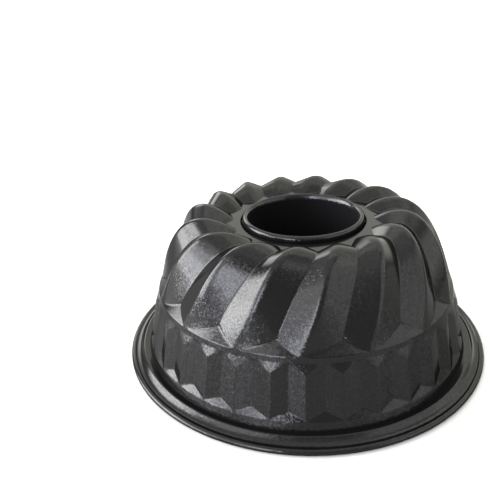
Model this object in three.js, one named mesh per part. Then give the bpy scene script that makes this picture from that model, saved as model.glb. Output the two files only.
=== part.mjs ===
// Mini fluted tube pan, standing upside down on its rim: millimetres, +Z up through the crown.
// The origin is on the table, under the middle of the pan.
// Two pieces of coated sheet steel: the drawn body, and the centre tube hemmed over the crown's edge.

import * as THREE from 'three';

const DEGREE = Math.PI / 180;

// Sheet
const SHEET = 0.5;

// Flutes: the crown has one swirling groove in each flute, the wall below it has two upright ones
const FLUTES = 16;
const WALL_GROOVES = 2 * FLUTES;
const WALL_PITCH = 360 / WALL_GROOVES;

// Crown: an upstanding collar at the hole, a narrow moat around it, then flat land
const COLLAR_RADIUS = 18.1;
const COLLAR_TOP = 42.4;
const MOAT_FLOOR = 41.2;
const MOAT_OUTER_RADIUS = 19.25;
const LAND_HEIGHT = 41.8;
const LAND_INNER_RADIUS = 19.6;

// Swirl: ridge and groove lines from the land to the break, by the radius, height and turn of their
// ends and handles
const RIDGE_LINE = [
  [21.1, LAND_HEIGHT, 23.5],
  [37.4, 53.5, 8.3],
  [42.0, 34.1, 7.05],
  [46.4, 22.4, -2.1],
];
const GROOVE_LINE = [
  [24.8, LAND_HEIGHT, 31.1],
  [31.6, 45.6, 28.9],
  [36.4, 43.0, 21.0],
  [43.3, 26.4, 12.9],
];
const SWIRL_STEPS = 18;

// Break circle: the ridges end on it, and a sloping facet closes each groove above it.
// A ridge has this share of its length behind it when the faces beside it reach the groove's end.
const [BREAK_RADIUS, BREAK_HEIGHT, BREAK_TURN] = RIDGE_LINE[3];
const FACET_RIDGE_SHARE = 0.72;

// Wall: upright ridges and grooves, cut off by a cone above and by a flare below
const WALL_RIDGE_TOP = [47.92, 17.95];
const WALL_GROOVE_TOP = [46.6, 20.5];
const WALL_RIDGE_FOOT = [50.6, 5.5];
const WALL_GROOVE_FOOT = [49.2, 7.45];

// Flange: a trough at the wall's foot, a shelf that rises to a rounded shoulder, and a hollow skirt,
// then the curled rim that the pan stands on. Each bend starts where the one before it ends.
const TROUGH = [51.36, 2.72];
const SHELF = [[51.85, 2.77], [52.6, 2.93], [52.95, 2.95]];
const SHOULDER = [[53.2, 2.96], [53.32, 2.88], [53.49, 2.68]];
const SKIRT = [[54.05, 2.02], [54.65, 1.41], [55.72, 1.38]];
const BEND_STEPS = [2, 3, 4];
const RIM_RADIUS = 57.5;
const CURL_RADIUS = 0.9;
const CURL_START = 144;
const CURL_END = -135;
const CURL_STEPS = 6;
const REST_HALF_ANGLE = 20;

// Centre tube: a tapered chimney whose wide end is rolled over the collar
const TUBE_SIDES = 48;
const TUBE_MOUTH_RADIUS = 14.0;
const TUBE_MOUTH_HEIGHT = 4.0;
const TUBE_NECK_RADIUS = 17.28;
const TUBE_NECK_HEIGHT = 39.0;
const LIP_ROLL_RADIUS = 1.05;
const LIP_ROLL_HEIGHT = 42.45;
const LIP_EDGE_HEIGHT = 41.55;
const LIP_STEPS = 6;

const COATING = { color: 0x2b2b2d, roughness: 0.38, metalness: 0.75 };

/** Point on the pan at a radius, a turn about the axis in degrees, and a height. */
function polar(radius, turn, height) {
  return new THREE.Vector3(radius * Math.cos(turn * DEGREE), radius * Math.sin(turn * DEGREE), height);
}

/** Closed ring of points at one radius and height. */
function circle(radius, height, count, start = 0) {
  return Array.from({ length: count }, (_, i) => polar(radius, start + (360 / count) * i, height));
}

/** Closed ring that alternates between a ridge point and a groove point. */
function zigzag(ridge, groove, count, ridgeTurn, grooveTurn) {
  const pitch = 360 / count;
  return Array.from({ length: count }, (_, i) => [
    polar(ridge[0], ridgeTurn + pitch * i, ridge[1]),
    polar(groove[0], grooveTurn + pitch * i, groove[1]),
  ]).flat();
}

/** Profile point from a pair of radius and height. */
function point([radius, height]) {
  return new THREE.Vector2(radius, height);
}

/** Points of a circular arc in the profile, between two angles in degrees. */
function arc(centre, radius, from, to, steps) {
  return Array.from({ length: steps + 1 }, (_, i) => {
    const angle = THREE.MathUtils.lerp(from, to, i / steps) * DEGREE;
    return centre.clone().add(point([Math.cos(angle), Math.sin(angle)]).multiplyScalar(radius));
  });
}

/** Swirl line that falls from the land to its end while it turns, as a function of its share. */
function swirlLine(handles) {
  const line = new THREE.CubicBezierCurve3(...handles.map((handle) => new THREE.Vector3(...handle)));
  return (share) => {
    const { x: radius, y: height, z: turn } = line.getPoint(share);
    return circle(radius, height, FLUTES, turn);
  };
}

/** Profile of the flange from the trough at the wall's foot to the cut edge inside the curl. */
function flangeProfile() {
  const section = [point(TROUGH)];
  [SHELF, SHOULDER, SKIRT].forEach((handles, i) => {
    const bend = new THREE.CubicBezierCurve(section.at(-1), ...handles.map(point));
    section.push(...bend.getPoints(BEND_STEPS[i]).slice(1));
  });
  const restDrop = CURL_RADIUS * Math.cos(REST_HALF_ANGLE * DEGREE);
  const centre = point([RIM_RADIUS - CURL_RADIUS, restDrop]);
  return [
    ...section,
    ...arc(centre, CURL_RADIUS, CURL_START, REST_HALF_ANGLE - 90, CURL_STEPS),
    ...arc(centre, CURL_RADIUS, -90 - REST_HALF_ANGLE, CURL_END, 1),
  ];
}

/** Body: rings of points joined into the outer skin, which is then given the sheet's thickness. */
function bodyGeometry() {
  const points = [];
  const triangles = [];
  const addRing = (ring) => ring.map((p) => points.push(p) - 1);
  const addTriangle = (a, b, c) => {
    if (a !== b && b !== c && c !== a) triangles.push([a, b, c]);
  };
  const normalOf = (a, b, c) => {
    const normal = new THREE.Vector3();
    return THREE.Triangle.getNormal(points[a], points[b], points[c], normal);
  };
  // Two rings of equal length, the first one nearer the hole. Each square is split the flatter way,
  // and a repeated point leaves one triangle.
  const join = (upper, lower) => upper.forEach((_, i) => {
    const next = (i + 1) % upper.length;
    const [a, b, c, d] = [upper[i], lower[i], lower[next], upper[next]];
    const flatAC = normalOf(a, b, c).dot(normalOf(a, c, d));
    const flatBD = normalOf(a, b, d).dot(normalOf(b, c, d));
    if (flatAC > flatBD) {
      addTriangle(a, b, c);
      addTriangle(a, c, d);
    } else {
      addTriangle(a, b, d);
      addTriangle(b, c, d);
    }
  });
  const joinAll = (rings) => rings.slice(1).forEach((ring, i) => join(rings[i], ring));

  // Swirl: ridge and groove points in turn. The grooves reach their ends before the ridges do.
  const ridgeLine = swirlLine(RIDGE_LINE);
  const grooveLine = swirlLine(GROOVE_LINE);
  const grooveEnds = addRing(grooveLine(1));
  const swirl = Array.from({ length: SWIRL_STEPS + 1 }, (_, i) => {
    const share = i / SWIRL_STEPS;
    const along = share / FACET_RIDGE_SHARE;
    const ridges = addRing(ridgeLine(share));
    const grooves = along < 1 ? addRing(grooveLine(along)) : grooveEnds;
    return ridges.flatMap((ridge, flute) => [ridge, grooves[flute]]);
  });

  // Crown: collar, moat and land, on the same turns as the start of the swirl
  const [[, , startTurn]] = RIDGE_LINE;
  const crown = [
    [COLLAR_RADIUS, COLLAR_TOP],
    [COLLAR_RADIUS, MOAT_FLOOR],
    [MOAT_OUTER_RADIUS, MOAT_FLOOR],
    [LAND_INNER_RADIUS, LAND_HEIGHT],
  ].map(([radius, height]) => addRing(circle(radius, height, 2 * FLUTES, startTurn)));
  joinAll([...crown, ...swirl]);

  // Break circle: a fan from each groove's end makes the facet
  const breakCircle = circle(BREAK_RADIUS, BREAK_HEIGHT, 4 * FLUTES, BREAK_TURN);
  const breakRing = breakCircle.map((p, i) => (i % 4 ? points.push(p) - 1 : swirl[SWIRL_STEPS][i / 2]));
  breakRing.forEach((corner, i) => {
    addTriangle(grooveEnds[Math.floor(i / 4)], corner, breakRing[(i + 1) % breakRing.length]);
  });

  // Wall: upright ridges and grooves, then the circle that the flare cuts at their feet
  const wallTop = addRing(zigzag(WALL_RIDGE_TOP, WALL_GROOVE_TOP, WALL_GROOVES, 0, WALL_PITCH / 2));
  const wallFoot = addRing(zigzag(WALL_RIDGE_FOOT, WALL_GROOVE_FOOT, WALL_GROOVES, 0, WALL_PITCH / 2));
  const footCircle = circle(...WALL_RIDGE_FOOT, 2 * WALL_GROOVES);
  const flareFoot = wallFoot.map((ridge, i) => (i % 2 ? points.push(footCircle[i]) - 1 : ridge));
  const flange = flangeProfile().map(({ x, y }) => addRing(circle(x, y, 2 * WALL_GROOVES)));
  joinAll([breakRing, wallTop, wallFoot, flareFoot, ...flange]);

  // Sheet thickness: the skin moved inwards, turned over, and joined to the outer one at both cut edges
  const normals = points.map(() => new THREE.Vector3());
  for (const [a, b, c] of triangles) {
    const normal = normalOf(a, b, c);
    for (const corner of [a, b, c]) normals[corner].add(normal);
  }
  const outerCount = points.length;
  for (let i = 0; i < outerCount; i += 1) {
    points.push(points[i].clone().addScaledVector(normals[i].normalize(), -SHEET));
  }
  for (const [a, b, c] of triangles.slice()) {
    triangles.push([a + outerCount, c + outerCount, b + outerCount]);
  }
  const inside = (ring) => ring.map((i) => i + outerCount);
  const [holeEdge] = crown;
  const curlEdge = flange[flange.length - 1];
  join(inside(holeEdge), holeEdge);
  join(curlEdge, inside(curlEdge));

  const geometry = new THREE.BufferGeometry();
  const positions = points.flatMap((p) => p.toArray());
  geometry.setAttribute('position', new THREE.Float32BufferAttribute(positions, 3));
  geometry.setIndex(triangles.flat());
  geometry.computeVertexNormals();
  return geometry;
}

/** Centre tube: a closed section of sheet, turned about the axis. */
function tubeGeometry() {
  const boreRadius = TUBE_NECK_RADIUS - SHEET;
  const lipOuterRadius = boreRadius + 2 * LIP_ROLL_RADIUS;
  const lipCentre = point([boreRadius + LIP_ROLL_RADIUS, LIP_ROLL_HEIGHT]);
  const section = [
    point([TUBE_MOUTH_RADIUS, TUBE_MOUTH_HEIGHT]),
    point([TUBE_NECK_RADIUS, TUBE_NECK_HEIGHT]),
    ...arc(lipCentre, LIP_ROLL_RADIUS - SHEET, 180, 0, LIP_STEPS),
    point([lipOuterRadius - SHEET, LIP_EDGE_HEIGHT]),
    point([lipOuterRadius, LIP_EDGE_HEIGHT]),
    ...arc(lipCentre, LIP_ROLL_RADIUS, 0, 180, LIP_STEPS),
    point([boreRadius, TUBE_NECK_HEIGHT]),
    point([TUBE_MOUTH_RADIUS - SHEET, TUBE_MOUTH_HEIGHT]),
    point([TUBE_MOUTH_RADIUS, TUBE_MOUTH_HEIGHT]),
  ];
  return new THREE.LatheGeometry(section, TUBE_SIDES).rotateX(90 * DEGREE);
}

/** Named mesh with its own coated finish. */
function piece(name, geometry) {
  const mesh = new THREE.Mesh(geometry, new THREE.MeshStandardMaterial(COATING));
  mesh.name = name;
  return mesh;
}

const pan = new THREE.Group();
pan.add(piece('fluted_body', bodyGeometry()));
pan.add(piece('centre_tube', tubeGeometry()));

export default pan;
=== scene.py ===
"""Looks of a mini fluted tube pan that stands upside down on its rim.

Two pieces of sheet steel with a dark flake coating: the drawn body, and the centre tube that is
hemmed over the crown's edge. Sizes are held in millimetres and degrees, and every mesh is made in
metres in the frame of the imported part.
"""

from __future__ import annotations

import logging
import math
from collections.abc import Callable, Iterable, Mapping
from dataclasses import dataclass, field
from enum import Enum

import bmesh
import bpy
from mathutils import Matrix, Vector


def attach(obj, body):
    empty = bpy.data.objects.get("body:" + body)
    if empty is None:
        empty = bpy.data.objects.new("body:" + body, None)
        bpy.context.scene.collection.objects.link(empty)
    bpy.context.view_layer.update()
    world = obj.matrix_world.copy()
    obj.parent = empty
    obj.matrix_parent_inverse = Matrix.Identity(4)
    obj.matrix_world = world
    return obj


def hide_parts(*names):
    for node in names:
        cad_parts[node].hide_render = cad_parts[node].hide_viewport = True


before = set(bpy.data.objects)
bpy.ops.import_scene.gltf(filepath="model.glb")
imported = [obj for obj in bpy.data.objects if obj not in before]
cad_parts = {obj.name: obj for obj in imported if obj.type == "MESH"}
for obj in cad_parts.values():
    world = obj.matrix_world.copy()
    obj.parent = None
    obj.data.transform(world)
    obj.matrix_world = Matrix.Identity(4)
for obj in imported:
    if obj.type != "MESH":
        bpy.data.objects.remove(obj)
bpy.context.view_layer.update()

LOG = logging.getLogger("tube_pan")
MM = 0.001
FULL_TURN = 360.0
DEGREES_PER_RADIAN = math.degrees(1.0)
MERGE_DISTANCE = 1e-6
SHARP_ANGLE = 60.0
HALF_GRID = 0.5
TEXTURE_MIDDLE = 0.5

Colour = tuple[float, float, float, float]
Tint = tuple[float, float, float]
Pair = tuple[float, float]


class Node(Enum):
    """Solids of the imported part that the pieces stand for."""

    BODY = "fluted_body"
    TUBE = "centre_tube"


class Slot(Enum):
    """Finish slots of the record."""

    BODY = "body_coating"
    TUBE = "tube_coating"


class Zone(Enum):
    """Bands of one flute, from the crown down to the flange."""

    LAND = "land"
    SWIRL = "swirl"
    FACET = "facet"
    BELT = "belt"
    TIP = "tip"
    WALL = "wall"
    FOOT = "foot"


class LightTint(Enum):
    """Colours of the light that the panels give."""

    WHITE = (1.0, 1.0, 1.0)
    FAINT_BLUE = (0.98, 0.98, 1.04)
    PALE_BLUE = (0.97, 0.98, 1.05)
    BLUE = (0.96, 0.97, 1.07)
    PALE_YELLOW = (1.02, 1.03, 0.95)
    YELLOW = (1.03, 1.04, 0.93)


def mix(start: float, end: float, share: float) -> float:
    """Value at a share of the way between two numbers."""
    return start + (end - start) * share


def along_handles(values: Iterable[float], share: float) -> float:
    """Value at a share of a curve that is drawn by its ends and handles.

    Args:
        values: First end, handles and last end.
        share: Share of the way.

    Returns:
        The value there.
    """
    row = list(values)
    while len(row) > 1:
        row = [mix(a, b, share) for a, b in zip(row, row[1:])]
    return row[0]


def even_rows(first: float, count: int) -> tuple[float, ...]:
    """Shares of a number of rows in equal steps, from the first one to the end."""
    return tuple(first + (1.0 - first) * i / (count - 1) for i in range(count))


# Shader graphs


class Signal:
    """Output socket of a shader graph that takes part in Python arithmetic."""

    def __init__(self, graph: ShaderGraph, socket: bpy.types.NodeSocket) -> None:
        """Holds a socket.

        Args:
            graph: Graph that the socket belongs to.
            socket: Output socket.
        """
        self.graph = graph
        self.socket = socket

    def combine(self, operation: str, first: Signal | float, second: Signal | float) -> Signal:
        """Adds one Math node.

        Args:
            operation: Name of the Math operation.
            first: First operand.
            second: Second operand.

        Returns:
            The node's result.
        """
        node = self.graph.node("ShaderNodeMath", {"operation": operation}, {0: first, 1: second})
        return Signal(self.graph, node.outputs[0])

    def __add__(self, other: Signal | float) -> Signal:
        """Sum."""
        return self.combine("ADD", self, other)

    def __radd__(self, other: float) -> Signal:
        """Sum with a number in front."""
        return self.combine("ADD", other, self)

    def __sub__(self, other: Signal | float) -> Signal:
        """Difference."""
        return self.combine("SUBTRACT", self, other)

    def __rsub__(self, other: float) -> Signal:
        """Difference from a number."""
        return self.combine("SUBTRACT", other, self)

    def __mul__(self, other: Signal | float) -> Signal:
        """Product."""
        return self.combine("MULTIPLY", self, other)

    def __rmul__(self, other: float) -> Signal:
        """Product with a number in front."""
        return self.combine("MULTIPLY", other, self)

    def __pow__(self, other: float) -> Signal:
        """Power."""
        return self.combine("POWER", self, other)


class ShaderGraph:
    """Node tree that is filled through one method for every kind of node."""

    def __init__(self, tree: bpy.types.NodeTree) -> None:
        """Takes over an empty node tree."""
        self.tree = tree
        self.tree.nodes.clear()

    def node(
        self,
        kind: str,
        settings: Mapping[str, object] | None = None,
        sockets: Mapping[int | str, object] | None = None,
    ) -> bpy.types.Node:
        """Adds a node.

        Args:
            kind: Type name of the node.
            settings: Properties of the node, which are set first.
            sockets: Values or signals by index, identifier or name of the input socket.

        Returns:
            The new node.
        """
        made = self.tree.nodes.new(kind)
        for name, value in (settings or {}).items():
            setattr(made, name, value)
        for key, value in (sockets or {}).items():
            target = self._find(made.inputs, key)
            if isinstance(value, Signal):
                self.tree.links.new(value.socket, target)
            else:
                target.default_value = value
        return made

    def signal(self, node: bpy.types.Node, key: int | str = 0) -> Signal:
        """Output of a node by index, identifier or name."""
        return Signal(self, self._find(node.outputs, key))

    @staticmethod
    def _find(sockets: bpy.types.bpy_prop_collection, key: int | str) -> bpy.types.NodeSocket:
        """Socket of a node.

        Args:
            sockets: Inputs or outputs of the node.
            key: Index, identifier or name.

        Returns:
            The first socket that fits.
        """
        if isinstance(key, int):
            return sockets[key]
        return next(s for s in sockets if key in (s.identifier, s.name))

    def vector(self, operation: str, first: object, second: object = (0.0, 0.0, 0.0)) -> Signal:
        """Vector Math of two vectors.

        Args:
            operation: Name of the operation.
            first: First vector or signal.
            second: Second vector or signal.

        Returns:
            The resulting vector.
        """
        return self.signal(
            self.node("ShaderNodeVectorMath", {"operation": operation}, {0: first, 1: second}))

    def scaled(self, vector: Signal | Tint, factor: Signal | float) -> Signal:
        """Vector times a number."""
        return self.signal(self.node(
            "ShaderNodeVectorMath", {"operation": "SCALE"}, {0: vector, "Scale": factor}))

    def blend(self, share: Signal, first: object, second: object) -> Signal:
        """Colour between two colours.

        Args:
            share: Share of the second colour.
            first: Colour at zero.
            second: Colour at one.

        Returns:
            The blended colour.
        """
        node = self.node(
            "ShaderNodeMix",
            {"data_type": "RGBA"},
            {"Factor_Float": share, "A_Color": first, "B_Color": second},
        )
        return self.signal(node, "Result_Color")


@dataclass(frozen=True)
class FlakeCoating:
    """Dark non-stick coating with fine metal flakes under a smooth clear film.

    Attributes:
        name: Name of the material.
        pigment: Colour of the dark binder.
        flake: Colour of the brightest flakes.
        flake_size: Size of a flake in millimetres.
        flake_tilt: How far the flakes lean off the surface.
        flake_power: Power of the spread of the flakes' brightness, higher for fewer bright ones.
        flake_roughness: Roughness of the flakes.
        film_weight: Strength of the clear film's reflection.
        film_roughness: Roughness of the clear film.
        film_ior: Refractive index of the clear film.
        cloud_size: Size in millimetres of the slow changes of tone.
        cloud_detail: Finer layers in these changes.
        cloud_tone: Strength of the flakes where there is no cloud, and what a full cloud adds.
        cloud_roughness: Change of roughness over the clouds.
        metal: Metallic share of the dullest flakes, and what the brightest ones add.
    """

    name: str
    pigment: Colour = (0.0096, 0.0096, 0.0096, 1.0)
    flake: Colour = (0.0155, 0.0155, 0.0155, 1.0)
    flake_size: float = 0.34
    flake_tilt: float = 0.22
    flake_power: float = 1.6
    flake_roughness: float = 0.19
    film_weight: float = 0.19
    film_roughness: float = 0.12
    film_ior: float = 1.5
    cloud_size: float = 9.0
    cloud_detail: float = 2.0
    cloud_tone: Pair = (0.85, 0.3)
    cloud_roughness: float = 0.06
    metal: Pair = (0.7, 0.14)

    def material(self) -> bpy.types.Material:
        """Builds the coating's material.

        Returns:
            The new material.
        """
        made = bpy.data.materials.new(self.name)
        made.use_nodes = True
        graph = ShaderGraph(made.node_tree)
        place = graph.signal(graph.node("ShaderNodeTexCoord"), "Object")
        cells = graph.node(
            "ShaderNodeTexVoronoi",
            {"voronoi_dimensions": "3D", "feature": "F1"},
            {"Vector": place, "Scale": 1.0 / (self.flake_size * MM), "Randomness": 1.0},
        )
        clouds = graph.signal(graph.node(
            "ShaderNodeTexNoise",
            {"noise_dimensions": "3D"},
            {
                "Vector": place,
                "Scale": 1.0 / (self.cloud_size * MM),
                "Detail": self.cloud_detail,
            },
        ))
        chance = graph.node("ShaderNodeSeparateColor", {}, {0: graph.signal(cells, "Color")})
        shine = graph.signal(chance, "Blue") ** self.flake_power
        lean = graph.vector("SUBTRACT", graph.signal(cells, "Color"), (TEXTURE_MIDDLE,) * 3)
        upright = graph.signal(graph.node("ShaderNodeNewGeometry"), "Normal")
        tilted = graph.vector("ADD", upright, graph.scaled(lean, self.flake_tilt))
        tone = shine * (self.cloud_tone[0] + self.cloud_tone[1] * clouds)
        wear = self.cloud_roughness * (clouds - TEXTURE_MIDDLE)
        surface = graph.node("ShaderNodeBsdfPrincipled", {}, {
            "Base Color": graph.blend(tone, self.pigment, self.flake),
            "Metallic": self.metal[0] + self.metal[1] * shine,
            "Roughness": self.flake_roughness + wear,
            "Specular IOR Level": 0.0,
            "Specular Tint": self.pigment,
            "Normal": graph.vector("NORMALIZE", tilted),
            "Coat Weight": self.film_weight,
            "Coat Roughness": self.film_roughness,
            "Coat IOR": self.film_ior,
        })
        graph.node("ShaderNodeOutputMaterial", {}, {"Surface": graph.signal(surface, "BSDF")})
        return made


# Lines of the pan


@dataclass(frozen=True)
class Station:
    """Point of the pan by radius and height in millimetres and turn about the axis in degrees."""

    radius: float
    turn: float
    height: float

    def place(self) -> Vector:
        """Point in metres."""
        angle = math.radians(self.turn)
        return Vector((math.cos(angle), math.sin(angle), 0.0)) * self.radius * MM + Vector(
            (0.0, 0.0, self.height * MM))

    def towards(self, other: Station, share: float) -> Station:
        """Station between two, along the cone that they lie on.

        Args:
            other: Station at a share of one.
            share: Share of the way.

        Returns:
            The station between them.
        """
        return Station(
            mix(self.radius, other.radius, share),
            mix(self.turn, other.turn, share),
            mix(self.height, other.height, share),
        )

    def turned(self, angle: float) -> Station:
        """Same station further round the axis."""
        return Station(self.radius, self.turn + angle, self.height)


@dataclass(frozen=True)
class Bezier:
    """Curve of radius and height, in millimetres, from its ends and handles."""

    points: tuple[Pair, ...]

    def at(self, share: float) -> Pair:
        """Point at a share of the curve."""
        radii, heights = zip(*self.points)
        return along_handles(radii, share), along_handles(heights, share)

    def steps(self, count: int) -> list[Pair]:
        """Points after the first, at equal shares."""
        return [self.at((i + 1) / count) for i in range(count)]


@dataclass(frozen=True)
class SwirlLine:
    """Ridge or groove that falls along a profile while it turns about the axis."""

    profile: Bezier
    turns: tuple[float, ...]

    def at(self, share: float) -> Station:
        """Station at a share of the line."""
        radius, height = self.profile.at(share)
        return Station(radius, along_handles(self.turns, share), height)


@dataclass(frozen=True)
class UprightLine:
    """Straight ridge or groove of the wall, by its upper and lower ends."""

    top: Pair
    foot: Pair

    def radius_at(self, height: float) -> float:
        """Radius of the line, or of its extension, at a height."""
        share = (height - self.top[1]) / (self.foot[1] - self.top[1])
        return mix(self.top[0], self.foot[0], share)


def arc(centre: Pair, radii: Pair, start: float, end: float, steps: int) -> list[Pair]:
    """Points of an elliptical arc in the profile.

    Args:
        centre: Middle of the arc.
        radii: Half sizes across and up.
        start: First angle in degrees.
        end: Last angle in degrees.
        steps: Number of steps.

    Returns:
        The points, both ends included.
    """
    angles = [math.radians(mix(start, end, i / steps)) for i in range(steps + 1)]
    return [
        (centre[0] + radii[0] * math.cos(a), centre[1] + radii[1] * math.sin(a)) for a in angles
    ]


def extend_rings(
    bm: bmesh.types.BMesh, edges: Iterable[bmesh.types.BMEdge], section: Iterable[Pair]
) -> list[bmesh.types.BMEdge]:
    """Extrudes a ring of edges through the points of a profile, each vertex on its own turn.

    Args:
        bm: Mesh that holds the ring.
        edges: Edges of the ring.
        section: Radius and height of each new ring in millimetres.

    Returns:
        Edges of the last ring.
    """
    ring = list(edges)
    for radius, height in section:
        made = bmesh.ops.extrude_edge_only(bm, edges=ring)["geom"]
        ring = [g for g in made if isinstance(g, bmesh.types.BMEdge)]
        for vert in (g for g in made if isinstance(g, bmesh.types.BMVert)):
            flat = Vector((vert.co.x, vert.co.y, 0.0)).normalized() * radius * MM
            vert.co = flat + Vector((0.0, 0.0, height * MM))
    return ring


def finish_object(
    bm: bmesh.types.BMesh,
    name: str,
    material: bpy.types.Material,
    sharp_angle: float = SHARP_ANGLE,
) -> bpy.types.Object:
    """Turns a bmesh into a smooth-shaded object at the origin.

    Args:
        bm: Mesh, which is freed.
        name: Name of the object.
        material: Finish of the whole piece.
        sharp_angle: Angle in degrees above which an edge stays sharp.

    Returns:
        The new object.
    """
    mesh = bpy.data.meshes.new(name)
    bm.to_mesh(mesh)
    bm.free()
    mesh.materials.append(material)
    mesh.shade_smooth()
    mesh.set_sharp_from_angle(angle=math.radians(sharp_angle))
    made = bpy.data.objects.new(name, mesh)
    bpy.context.scene.collection.objects.link(made)
    return made


# Pieces


@dataclass
class FlutedBody:
    """Drawn sheet: crown, swirling flutes, upright-fluted wall, flange and curled rim.

    One flute is a grid whose vertices are set on the flute's own lines, with narrow columns and
    rows beside each crease. It is spun into the whole body, and the collar and the flange are
    drawn out from its two edges. Lengths are in millimetres, turns are in degrees, and a pair is a
    radius and a height where nothing else is said.

    Attributes:
        name: Name of the piece.
        sheet: Thickness of the metal.
        flutes: Swirling flutes round the crown.
        half_columns: Columns of faces from a ridge to its groove.
        rows: Lower edge of each row as a share of its zone, from the crown down.
        land_radius: Inner edge of the flat land round the hole.
        land_height: Height of the land.
        ridge: Line of a swirling ridge, from the land to the break circle.
        groove: Line of the groove beside it, from the land to the facet's point.
        facet_share: Share of the ridge at which the facet beside it opens.
        facet_inset: Turn of the flank that is left between a ridge's end and the facet.
        facet_columns: Most columns that the facet takes from the flank before it.
        facet_recess: Depth of the facet's hollow at its point.
        ridge_rounding: Length of flank that the rounding takes at a ridge's top and at its end.
        rounding_limit: Largest share of a flank that the rounding takes.
        ridge_columns: Columns in one half of a rounded ridge.
        crease: Width of the narrow columns beside a crease.
        belt_foot: Lower edge of the plain belt under the break circle.
        wall_creases: Ridges and grooves of the wall under one flute.
        wall_ridge: Ridge of the wall.
        wall_groove: Groove of the wall.
        arch_power: Power of the arches over the wall's flutes, one for straight sides.
        flare: Lower edge of the flare under the wall.
        collar: Profile of the collar inside the tube's lip.
        trough: Bottom of the flange's trough.
        drop_shares: Rows from the flare to the trough, as shares of the way.
        shelf: Handles and end of the flat beside the trough.
        shoulder: Handles and end of the rounded shoulder.
        skirt: Handles and end of the hollow skirt.
        bend_steps: Rows in each of these three.
        rim_radius: Outer radius of the rim.
        curl_radius: Radius of the rim's curl.
        curl_angles: First and last angle of the curl in its section.
        curl_steps: Rows round the curl.
        sharp_angle: Angle above which an edge is shaded sharp.
    """

    name: str = "fluted_body_sheet"
    sheet: float = 0.5
    flutes: int = 16
    half_columns: int = 12
    rows: dict[Zone, tuple[float, ...]] = field(default_factory=lambda: {
        Zone.LAND: (0.5, 0.9, 1.0),
        Zone.SWIRL: even_rows(0.012, 24),
        Zone.FACET: (0.05, 0.13, 0.22, 0.32, 0.42, 0.52, 0.62, 0.71, 0.80, 0.88, 0.94, 1.0),
        Zone.BELT: (0.18, 0.5, 0.84, 1.0),
        Zone.TIP: (0.1, 0.5, 0.92, 1.0),
        Zone.WALL: (0.03, 0.12, 0.24, 0.36, 0.48, 0.6, 0.72, 0.84, 0.97, 1.0),
        Zone.FOOT: (0.14, 0.86, 1.0),
    })
    land_radius: float = 20.1
    land_height: float = 41.8
    ridge: SwirlLine = SwirlLine(
        Bezier(((21.1, 41.8), (37.9, 54.05), (43.3, 34.6), (46.4, 22.4))),
        (23.5, 11.9, 8.0, 4.4, -2.1))
    groove: SwirlLine = SwirlLine(
        Bezier(((24.8, 41.8), (31.6, 45.6), (36.4, 43.0), (43.3, 26.4))),
        (31.1, 29.3, 25.5, 18.4, 12.9))
    facet_share: float = 0.72
    facet_inset: float = 3.2
    facet_columns: int = 9
    facet_recess: float = 0.3
    ridge_rounding: Pair = (1.9, 1.2)
    rounding_limit: float = 0.4
    ridge_columns: int = 3
    crease: float = 0.42
    belt_foot: Pair = (46.72, 20.85)
    wall_creases: int = 4
    wall_ridge: UprightLine = UprightLine((47.92, 17.95), (50.6, 5.5))
    wall_groove: UprightLine = UprightLine((46.6, 20.5), (49.2, 7.45))
    arch_power: float = 1.7
    flare: Pair = (50.66, 5.2)
    collar: tuple[Pair, ...] = (
        (19.6, 41.8), (19.45, 41.76), (19.34, 41.65), (19.28, 41.45), (19.16, 41.26),
        (18.95, 41.2), (18.5, 41.2), (18.28, 41.24), (18.15, 41.36), (18.1, 41.55), (18.1, 42.4))
    trough: Pair = (51.36, 2.72)
    drop_shares: tuple[float, ...] = (0.15, 0.5, 0.95)
    shelf: tuple[Pair, ...] = ((51.85, 2.77), (52.6, 2.93), (52.95, 2.95))
    shoulder: tuple[Pair, ...] = ((53.2, 2.96), (53.32, 2.88), (53.49, 2.68))
    skirt: tuple[Pair, ...] = ((54.05, 2.02), (54.65, 1.41), (55.72, 1.38))
    bend_steps: int = 8
    rim_radius: float = 57.49
    curl_radius: float = 0.9
    curl_angles: Pair = (144.0, -145.0)
    curl_steps: int = 18
    sharp_angle: float = 62.0

    @property
    def pitch(self) -> float:
        """Turn of one flute in degrees."""
        return FULL_TURN / self.flutes

    @property
    def columns(self) -> int:
        """Columns of faces in one flute."""
        return 2 * self.half_columns

    @property
    def wall_step(self) -> float:
        """Turn in degrees between a ridge and a groove of the wall."""
        return self.pitch / self.wall_creases

    def zone_of(self, row: int) -> tuple[Zone, int]:
        """Zone of a row of vertices.

        Args:
            row: Row from the crown down.

        Returns:
            The zone, and the row's number in it.
        """
        for zone, shares in self.rows.items():
            if row <= len(shares):
                return zone, row
            row -= len(shares)
        raise ValueError("row below the foot of the wall")

    def point(self, row: int, column: int) -> Vector:
        """Place of a grid vertex on the drawn sheet.

        Args:
            row: Row from the crown down.
            column: Column round the axis.

        Returns:
            The place in metres.
        """
        zone, step = self.zone_of(row)
        share = self.rows[zone][step - 1] if step else 0.0
        if zone is Zone.FACET:
            return self._facet(share, column, step)
        makers: dict[Zone, Callable[[float, int], Vector]] = {
            Zone.LAND: self._land,
            Zone.SWIRL: self._swirl,
            Zone.BELT: self._belt,
            Zone.TIP: self._tip,
            Zone.WALL: self._wall,
            Zone.FOOT: self._foot,
        }
        return makers[zone](share, column)

    def _spread(self, column: int, count: int, length: float) -> float:
        """Share of a column between two creases, with a narrow column beside each of them.

        Args:
            column: Column from the first crease.
            count: Columns between the creases.
            length: Distance between the creases in metres.

        Returns:
            The share of the way.
        """
        edge = min(self.crease * MM / length, 1.0 / count) if length > 0.0 else 0.0
        if count < 3 or column in (0, count):
            return column / count
        return mix(edge, 1.0 - edge, (column - 1) / (count - 2))

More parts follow.
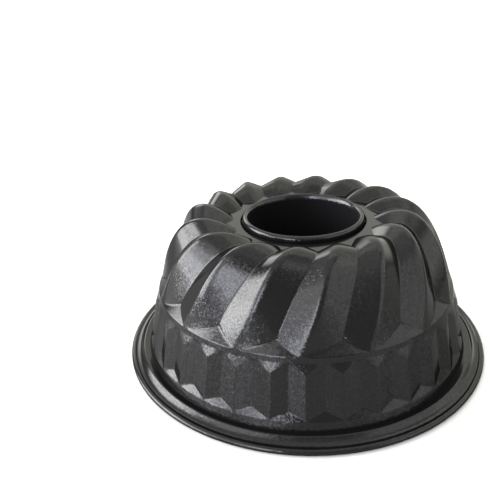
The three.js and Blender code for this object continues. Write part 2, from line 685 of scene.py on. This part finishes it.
    def _flank(self, ridge: Vector, edge: Vector, other: Vector, column: int, count: int,
               rounding: float) -> Vector:
        """Point of a flank that leaves a rounded ridge and ends in a crease.

        Args:
            ridge: Corner of the two flanks that meet in the ridge.
            edge: Crease at this flank's far end.
            other: Far end of the flank across the ridge.
            column: Column from the ridge.
            count: Columns of the flank.
            rounding: Length of flank that the rounding takes, in millimetres.

        Returns:
            The place in metres.
        """
        if count == 0:
            return ridge.copy()
        near, across = edge - ridge, other - ridge
        limit = self.rounding_limit
        reach = min(rounding * MM, limit * near.length, limit * across.length)
        if reach <= 0.0:
            return ridge.lerp(edge, column / count)
        start, end = ridge + across.normalized() * reach, ridge + near.normalized() * reach
        bend = min(self.ridge_columns, count // 2)
        if column <= bend:
            share = 0.5 + 0.5 * column / bend if bend else 0.5
            return start.lerp(ridge, share).lerp(ridge.lerp(end, share), share)
        rest = edge - end
        step, steps = column - bend, count - bend
        tail = min(self.crease * MM / rest.length, 1.0 / steps)
        share = 1.0 if step == steps else (1.0 - tail) * step / (steps - 1)
        return end + rest * share

    def _land(self, share: float, column: int) -> Vector:
        """Flat land between the hole and the starts of the flutes.

        Args:
            share: Share of the way outwards.
            column: Column of the flute.

        Returns:
            The place in metres.
        """
        outer = self._swirl(0.0, column)
        inner = Vector((outer.x, outer.y, 0.0)).normalized() * self.land_radius * MM
        inner.z = self.land_height * MM
        return inner.lerp(outer, share)

    def _swirl(self, share: float, column: int) -> Vector:
        """Flanks between a ridge, its groove and the next ridge."""
        ridge, groove = self.ridge.at(self.facet_share * share), self.groove.at(share)
        return self._section(ridge, groove, groove, column, self.half_columns, self.half_columns)

    def _section(self, ridge: Station, left_edge: Station, right_edge: Station, column: int,
                 left: int, right: int) -> Vector:
        """Point on one of the two flanks of a flute.

        Args:
            ridge: Ridge at the flute's first column.
            left_edge: Crease at the end of the first flank.
            right_edge: Crease at the start of the second flank.
            column: Column of the flute.
            left: Column of the first crease.
            right: Column of the second crease.

        Returns:
            The place in metres.
        """
        start, end = self.ridge.turns[0], self.ridge.turns[-1]
        rounding = mix(*self.ridge_rounding, (start - ridge.turn) / (start - end))
        if column <= left:
            before = right_edge.turned(-self.pitch).place()
            return self._flank(
                ridge.place(), left_edge.place(), before, column, left, rounding)
        after = left_edge.turned(self.pitch).place()
        return self._flank(
            ridge.turned(self.pitch).place(), right_edge.place(), after, self.columns - column,
            self.columns - right, rounding)

    def _facet(self, share: float, column: int, opening: int) -> Vector:
        """Flanks that run out, and the sloping facet that opens between them.

        Args:
            share: Share of the way down.
            column: Column of the flute.
            opening: Columns that the facet has opened on the far side of the groove.

        Returns:
            The place in metres.
        """
        ridge = self.ridge.at(mix(self.facet_share, 1.0, share))
        ridge_end, groove_end = self.ridge.at(1.0), self.groove.at(1.0)
        left_edge = groove_end.towards(ridge_end.turned(self.facet_inset), share)
        right_edge = groove_end.towards(ridge_end.turned(self.pitch), share)
        left = self.half_columns - min(opening, self.facet_columns)
        right = self.half_columns + opening
        if left <= column <= right:
            width = (right_edge.place() - left_edge.place()).length
            along = self._spread(column - left, right - left, width) if opening else 0.0
            spot = left_edge.towards(right_edge, along)
            depth = self.facet_recess * (1.0 - share) if left < column < right else 0.0
            return Station(spot.radius - depth, spot.turn, spot.height - depth).place()
        return self._section(ridge, left_edge, right_edge, column, left, right)

    def _wall_turn(self, column: int) -> float:
        """Turn of a column of the wall.

        Args:
            column: Column of the flute.

        Returns:
            The turn in degrees.
        """
        count = self.columns // self.wall_creases
        length = math.radians(self.wall_step) * self.wall_groove.foot[0] * MM
        return self.wall_step * (column // count + self._spread(column % count, count, length))

    def _side(self, column: int) -> float:
        """Share of the way from a wall groove, at zero, to a wall ridge, at one."""
        step = self.wall_step
        return abs(self._wall_turn(column) % (2 * step) - step) / step

    def _upright(self, height: float, column: int) -> Station:
        """Station on the wall's flat-sided flutes.

        Args:
            height: Height in millimetres.
            column: Column of the flute.

        Returns:
            The station there.
        """
        side = self._side(column)
        radius = mix(self.wall_groove.radius_at(height), self.wall_ridge.radius_at(height), side)
        return Station(radius, self._wall_turn(column), height)

    def _arch(self, column: int) -> Station:
        """Rounded upper end of a wall flute."""
        fall = self._side(column) ** self.arch_power
        return self._upright(mix(self.wall_groove.top[1], self.wall_ridge.top[1], fall), column)

    def _heel(self, column: int) -> Station:
        """Lower end of a wall flute, a point over the groove."""
        side = self._side(column)
        return self._upright(mix(self.wall_groove.foot[1], self.wall_ridge.foot[1], side), column)

    def _belt_end(self, column: int) -> Station:
        """Lower edge of the plain belt."""
        return Station(self.belt_foot[0], self._wall_turn(column), self.belt_foot[1])

    def _belt(self, share: float, column: int) -> Vector:
        """Plain belt under the break circle."""
        start = self._facet(1.0, column, len(self.rows[Zone.FACET]))
        return start.lerp(self._belt_end(column).place(), share)

    def _tip(self, share: float, column: int) -> Vector:
        """Sloping tips of the wall's ridges, between the belt and the arches."""
        return self._belt_end(column).towards(self._arch(column), share).place()

    def _wall(self, share: float, column: int) -> Vector:
        """Upright flutes of the wall."""
        height = mix(self._arch(column).height, self._heel(column).height, share)
        return self._upright(height, column).place()

    def _foot(self, share: float, column: int) -> Vector:
        """Flare that cuts the flutes off above the flange."""
        heel = self._heel(column)
        return heel.towards(Station(self.flare[0], heel.turn, self.flare[1]), share).place()

    def flange_section(self) -> list[Pair]:
        """Profile of the flange, drawn outwards from the wall's foot.

        Returns:
            Radius and height of each ring, down to the cut edge inside the curl.
        """
        drop = Bezier((self.flare, self.trough))
        section = [*(drop.at(share) for share in self.drop_shares), self.trough]
        for handles in (self.shelf, self.shoulder, self.skirt):
            section += Bezier((section[-1], *handles)).steps(self.bend_steps)
        centre = (self.rim_radius - self.curl_radius, self.curl_radius)
        radii = (self.curl_radius, self.curl_radius)
        return [*section, *arc(centre, radii, *self.curl_angles, self.curl_steps)]

    def _grid(self, bm: bmesh.types.BMesh) -> int:
        """Adds one flute, with the facet's edges along its diagonals.

        Args:
            bm: Empty mesh.

        Returns:
            Number of the last row.
        """
        total = sum(len(shares) for shares in self.rows.values())
        bmesh.ops.create_grid(bm, x_segments=self.columns, y_segments=total, size=HALF_GRID)
        layer = bm.verts.layers.int.new("row")
        corner = len(self.rows[Zone.LAND]) + len(self.rows[Zone.SWIRL])
        diagonals = []
        for vert in bm.verts:
            column = round((vert.co.x + HALF_GRID) * self.columns)
            row = round((vert.co.y + HALF_GRID) * total)
            vert[layer] = row
            vert.co = self.point(row, column)
            if corner <= row and abs(column - self.half_columns) == row - corner:
                diagonals.append(vert)
        bmesh.ops.connect_verts(bm, verts=diagonals)
        return total

    def _ring_at(self, bm: bmesh.types.BMesh, row: int) -> list[bmesh.types.BMEdge]:
        """Boundary edges on one row."""
        layer = bm.verts.layers.int["row"]
        return [e for e in bm.edges if e.is_boundary and all(v[layer] == row for v in e.verts)]

    def build(self, material: bpy.types.Material) -> bpy.types.Object:
        """Builds the piece and ties it to the frame.

        Args:
            material: Finish of the piece.

        Returns:
            The new object.
        """
        bm = bmesh.new()
        last = self._grid(bm)
        bmesh.ops.spin(
            bm, geom=bm.verts[:] + bm.edges[:] + bm.faces[:], cent=(0.0, 0.0, 0.0),
            axis=(0.0, 0.0, 1.0), angle=math.radians(FULL_TURN - self.pitch),
            steps=self.flutes - 1, use_duplicate=True)
        bmesh.ops.remove_doubles(bm, verts=bm.verts[:], dist=MERGE_DISTANCE)
        extend_rings(bm, self._ring_at(bm, 0), self.collar)
        extend_rings(bm, self._ring_at(bm, last), self.flange_section())
        bmesh.ops.recalc_face_normals(bm, faces=bm.faces[:])
        made = finish_object(bm, self.name, material, self.sharp_angle)
        wall = made.modifiers.new("sheet", "SOLIDIFY")
        wall.thickness = self.sheet * MM
        wall.offset = -1.0
        wall.use_even_offset = False
        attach(made, "root")
        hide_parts(Node.BODY.value)
        return made


@dataclass
class CentreTube:
    """Tapered chimney, open at both ends, whose wide end is rolled over the body's collar.

    Lengths are in millimetres, and a pair is a radius and a height.

    Attributes:
        name: Name of the piece.
        sheet: Thickness of the metal.
        sides: Faces round the tube.
        mouth: Outer edge of the open lower end.
        neck: Upper end of the straight wall, on its outside.
        lip_radius: Outer radius of the rolled lip's section.
        lip_depth: Depth to which the lip widens the bore.
        lip_height: Height of the roll's middle.
        lip_edge: Height of the rounded edge's middle.
        wall_steps: Rows of the straight wall.
        roll_steps: Rows of the roll's underside, and of the widened bore.
        edge_steps: Rows round the edge.
        crest_steps: Rows from the edge up to the crest.
    """

    name: str = "centre_tube_chimney"
    sheet: float = 0.5
    sides: int = 128
    mouth: Pair = (14.0, 4.0)
    neck: Pair = (17.28, 39.0)
    lip_radius: float = 1.05
    lip_depth: float = 2.0
    lip_height: float = 42.45
    lip_edge: float = 41.55
    wall_steps: int = 8
    roll_steps: int = 10
    edge_steps: int = 6
    crest_steps: int = 8

    def section(self) -> list[Pair]:
        """Closed profile of the tube, from the mouth up the outside and down the bore.

        Returns:
            Radius and height of each ring.
        """
        bore = self.neck[0] - self.sheet
        middle = (bore + self.lip_radius, self.lip_height)
        inner = self.lip_radius - self.sheet
        outside = Bezier((self.mouth, self.neck)).steps(self.wall_steps)
        under = arc(middle, (inner, inner), 180.0, 0.0, self.roll_steps)
        edge_middle = (middle[0] + self.lip_radius - self.sheet / 2, self.lip_edge)
        edge = arc(edge_middle, (self.sheet / 2, self.sheet / 2), 180.0, 360.0, self.edge_steps)
        over = arc(middle, (self.lip_radius, self.lip_radius), 0.0, 90.0, self.crest_steps)
        flare = arc(
            (middle[0], middle[1] + self.lip_radius - self.lip_depth),
            (self.lip_radius, self.lip_depth), 90.0, 180.0, self.roll_steps)[1:]
        top, bottom = (bore, self.neck[1]), (self.mouth[0] - self.sheet, self.mouth[1])
        inside = Bezier((top, bottom)).steps(self.wall_steps)
        return [self.mouth, *outside, *under, *edge, *over, *flare, top, *inside]

    def build(self, material: bpy.types.Material) -> bpy.types.Object:
        """Builds the piece and ties it to the frame.

        Args:
            material: Finish of the piece.

        Returns:
            The new object.
        """
        bm = bmesh.new()
        radius, height = self.mouth
        bmesh.ops.create_circle(bm, cap_ends=False, radius=radius * MM, segments=self.sides)
        bmesh.ops.translate(bm, verts=bm.verts[:], vec=(0.0, 0.0, height * MM))
        first = bm.edges[:]
        last = extend_rings(bm, first, self.section()[1:])
        bmesh.ops.bridge_loops(bm, edges=first + last)
        bmesh.ops.remove_doubles(bm, verts=bm.verts[:], dist=MERGE_DISTANCE)
        bmesh.ops.recalc_face_normals(bm, faces=bm.faces[:])
        made = finish_object(bm, self.name, material)
        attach(made, "root")
        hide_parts(Node.TUBE.value)
        return made


# Studio


@dataclass(frozen=True)
class LightPanel:
    """Soft-edged bright panel far away from the pan.

    Attributes:
        azimuth: First and last direction in degrees, zero in front and positive to the right.
        elevation: Lowest and highest direction in degrees.
        softness: Half width of its soft edges in degrees.
        brightness: Brightness over the rest of the sky.
        tint: Colour of its light.
    """

    azimuth: Pair
    elevation: Pair
    softness: float
    brightness: float
    tint: LightTint = LightTint.WHITE

    def glow(self, graph: ShaderGraph, azimuth: Signal, elevation: Signal) -> Signal:
        """Adds the panel to a sky.

        Args:
            graph: Graph of the sky.
            azimuth: Direction round the pan in degrees.
            elevation: Direction above the horizon in degrees.

        Returns:
            Light of the panel in each direction.
        """
        across = self._between(graph, azimuth, self.azimuth)
        level = self.brightness * across * self._between(graph, elevation, self.elevation)
        return graph.scaled(self.tint.value, level)

    def _between(self, graph: ShaderGraph, value: Signal, limits: Pair) -> Signal:
        """Part of the sky between two limits.

        Args:
            graph: Graph of the sky.
            value: Direction in degrees.
            limits: First and last direction of the part.

        Returns:
            One between the limits, falling softly to zero outside them.
        """
        sides = [
            graph.signal(graph.node(
                "ShaderNodeMapRange", {"interpolation_type": "SMOOTHSTEP"},
                {"Value": value, "From Min": limit - self.softness,
                 "From Max": limit + self.softness}))
            for limit in limits
        ]
        return sides[0] - sides[1]


@dataclass
class Studio:
    """Pale floor, soft light from all round that is brightest at the left, and the camera.

    Attributes:
        floor_size: Half the length of the floor's sides in metres.
        floor_cells: Faces along each side of the floor.
        floor_tones: The two colours that the floor changes between.
        floor_clouds: Scale of the changes.
        floor_roughness: Roughness of the floor.
        floor_gloss: Strength of the floor's reflections.
        sky: Light from all round, to which the panels add theirs.
        panels: Bright panels of the sky.
        focal_pixels: Focal length in pixels of the picture.
        image_pixels: Width of the picture.
        sensor_width: Width of the camera's sensor in millimetres.
        camera_range: Nearest and farthest distance that the camera sees, in metres.
        camera_distance: Distance in millimetres from the origin of the frame.
        camera_elevation: Direction of the camera above the table in degrees.
        camera_azimuth: Direction of the camera round the pan in degrees.
        camera_yaw: Turn of its aim across, away from the origin, in degrees.
        camera_pitch: Turn of its aim up or down, away from the origin, in degrees.
        camera_roll: Turn about its aim in degrees.
    """

    floor_size: float = 8.0
    floor_cells: int = 8
    floor_tones: tuple[Colour, Colour] = ((0.36, 0.36, 0.355, 1.0), (0.38, 0.38, 0.375, 1.0))
    floor_clouds: float = 3.0
    floor_roughness: float = 0.35
    floor_gloss: float = 0.2
    sky: Tint = (0.66, 0.66, 0.66)
    panels: tuple[LightPanel, ...] = (
        LightPanel((-114.0, -80.0), (-12.0, 12.0), 5.0, 33.0),
        LightPanel((-114.0, -80.0), (12.0, 39.0), 6.0, 27.0),
        LightPanel((-160.0, -136.0), (12.0, 32.0), 6.0, 16.0),
        LightPanel((-80.0, -54.0), (-12.0, 17.0), 5.0, 25.0, LightTint.PALE_BLUE),
        LightPanel((-80.0, -64.0), (18.0, 32.0), 5.0, 15.0, LightTint.FAINT_BLUE),
        LightPanel((-52.0, -33.0), (-12.0, 20.0), 5.0, 4.5, LightTint.BLUE),
        LightPanel((-34.0, -15.0), (4.0, 31.0), 5.0, 18.0, LightTint.BLUE),
        LightPanel((-64.0, -33.0), (20.0, 30.0), 5.0, 4.5, LightTint.FAINT_BLUE),
        LightPanel((-66.0, -24.0), (30.0, 53.0), 6.0, 5.0),
        LightPanel((-150.0, -66.0), (38.0, 54.0), 8.0, 1.4),
        LightPanel((42.0, 88.0), (-10.0, 54.0), 8.0, 2.4),
        LightPanel((88.0, 125.0), (6.0, 41.0), 7.0, 3.6, LightTint.PALE_YELLOW),
        LightPanel((125.0, 165.0), (-10.0, 42.0), 8.0, 3.6, LightTint.YELLOW),
        LightPanel((125.0, 160.0), (-12.0, 10.0), 8.0, 3.6, LightTint.YELLOW),
        LightPanel((165.0, 190.0), (8.0, 42.0), 8.0, 4.6, LightTint.YELLOW),
        LightPanel((-190.0, -155.0), (8.0, 42.0), 8.0, 4.6, LightTint.YELLOW),
        LightPanel((122.0, 190.0), (42.0, 66.0), 9.0, 3.0, LightTint.YELLOW),
        LightPanel((-190.0, -140.0), (42.0, 66.0), 9.0, 3.0, LightTint.YELLOW),
        LightPanel((-180.0, 180.0), (40.0, 100.0), 8.0, 0.4),
        LightPanel((-180.0, 180.0), (62.0, 100.0), 10.0, 0.9, LightTint.PALE_YELLOW),
    )
    focal_pixels: float = 589.02
    image_pixels: float = 500.0
    sensor_width: float = 36.0
    camera_range: Pair = (0.01, 50.0)
    camera_distance: float = 203.344
    camera_elevation: float = 33.0416
    camera_azimuth: float = -0.89
    camera_yaw: float = 5.192
    camera_pitch: float = -7.8923
    camera_roll: float = 0.5662

    def build(self) -> None:
        """Builds the floor, the light and the camera."""
        self._floor()
        self._sky()
        self._camera()
        bpy.context.scene.view_settings.view_transform = "Standard"

    def _floor(self) -> None:
        """Adds the floor, with a faint slow change of tone."""
        bm = bmesh.new()
        bmesh.ops.create_grid(
            bm, x_segments=self.floor_cells, y_segments=self.floor_cells, size=self.floor_size)
        material = bpy.data.materials.new("pale_floor")
        material.use_nodes = True
        graph = ShaderGraph(material.node_tree)
        place = graph.signal(graph.node("ShaderNodeTexCoord"), "Object")
        clouds = graph.signal(graph.node(
            "ShaderNodeTexNoise", {}, {"Vector": place, "Scale": self.floor_clouds}))
        surface = graph.node("ShaderNodeBsdfPrincipled", {}, {
            "Base Color": graph.blend(clouds, *self.floor_tones),
            "Roughness": self.floor_roughness,
            "Specular IOR Level": self.floor_gloss,
        })
        graph.node("ShaderNodeOutputMaterial", {}, {"Surface": graph.signal(surface, "BSDF")})
        finish_object(bm, "floor", material)

    def _sky(self) -> None:
        """Sets the light from all round."""
        world = bpy.data.worlds.new("soft_studio")
        world.use_nodes = True
        graph = ShaderGraph(world.node_tree)
        towards = graph.node(
            "ShaderNodeSeparateXYZ", {}, {0: graph.signal(graph.node("ShaderNodeTexCoord"))})
        across, ahead, up = (graph.signal(towards, axis) for axis in "XYZ")
        azimuth = DEGREES_PER_RADIAN * across.combine("ARCTAN2", across, 0.0 - ahead)
        elevation = DEGREES_PER_RADIAN * up.combine("ARCSINE", up, 0.0)
        light: Signal | Tint = self.sky
        for panel in self.panels:
            light = graph.vector("ADD", light, panel.glow(graph, azimuth, elevation))
        sky = graph.node("ShaderNodeBackground", {}, {"Color": light, "Strength": 1.0})
        graph.node("ShaderNodeOutputWorld", {}, {"Surface": graph.signal(sky)})
        bpy.context.scene.world = world

    def _camera(self) -> None:
        """Adds the camera, aimed past the pan as in the photograph."""
        data = bpy.data.cameras.new("camera")
        data.sensor_width = self.sensor_width
        data.lens = self.sensor_width * self.focal_pixels / self.image_pixels
        data.clip_start, data.clip_end = self.camera_range
        camera = bpy.data.objects.new("camera", data)
        lift = math.radians(self.camera_elevation)
        level = Matrix((
            (1.0, 0.0, 0.0),
            (0.0, -math.sin(lift), -math.cos(lift)),
            (0.0, math.cos(lift), -math.sin(lift)),
        ))
        aim = (
            Matrix.Rotation(math.radians(self.camera_roll), 3, "Z")
            @ Matrix.Rotation(math.radians(self.camera_pitch), 3, "X")
            @ Matrix.Rotation(math.radians(self.camera_yaw), 3, "Y")
            @ level
        )
        facing = Matrix((aim[0], -aim[1], -aim[2])).transposed()
        place = Vector((0.0, -math.cos(lift), math.sin(lift))) * self.camera_distance * MM
        orbit = Matrix.Rotation(math.radians(self.camera_azimuth), 4, "Z")
        camera.matrix_world = orbit @ Matrix.Translation(place) @ facing.to_4x4()
        bpy.context.scene.collection.objects.link(camera)
        bpy.context.scene.camera = camera


# Assembly

TUBE_PIGMENT: Colour = (0.0125, 0.0128, 0.0138, 1.0)


def main() -> None:
    """Builds the studio and both pieces, and reports each piece."""
    logging.basicConfig(level=logging.INFO, format="%(name)s: %(message)s")
    Studio().build()
    pieces = (
        (FlutedBody(), FlakeCoating("body_flake_coating")),
        (CentreTube(), FlakeCoating("tube_flake_coating", pigment=TUBE_PIGMENT)),
    )
    for piece, finish in pieces:
        made = piece.build(finish.material())
        LOG.info("%s: %d faces before thickness", made.name, len(made.data.polygons))
    bpy.context.view_layer.update()


if __name__ == "__main__":
    main()
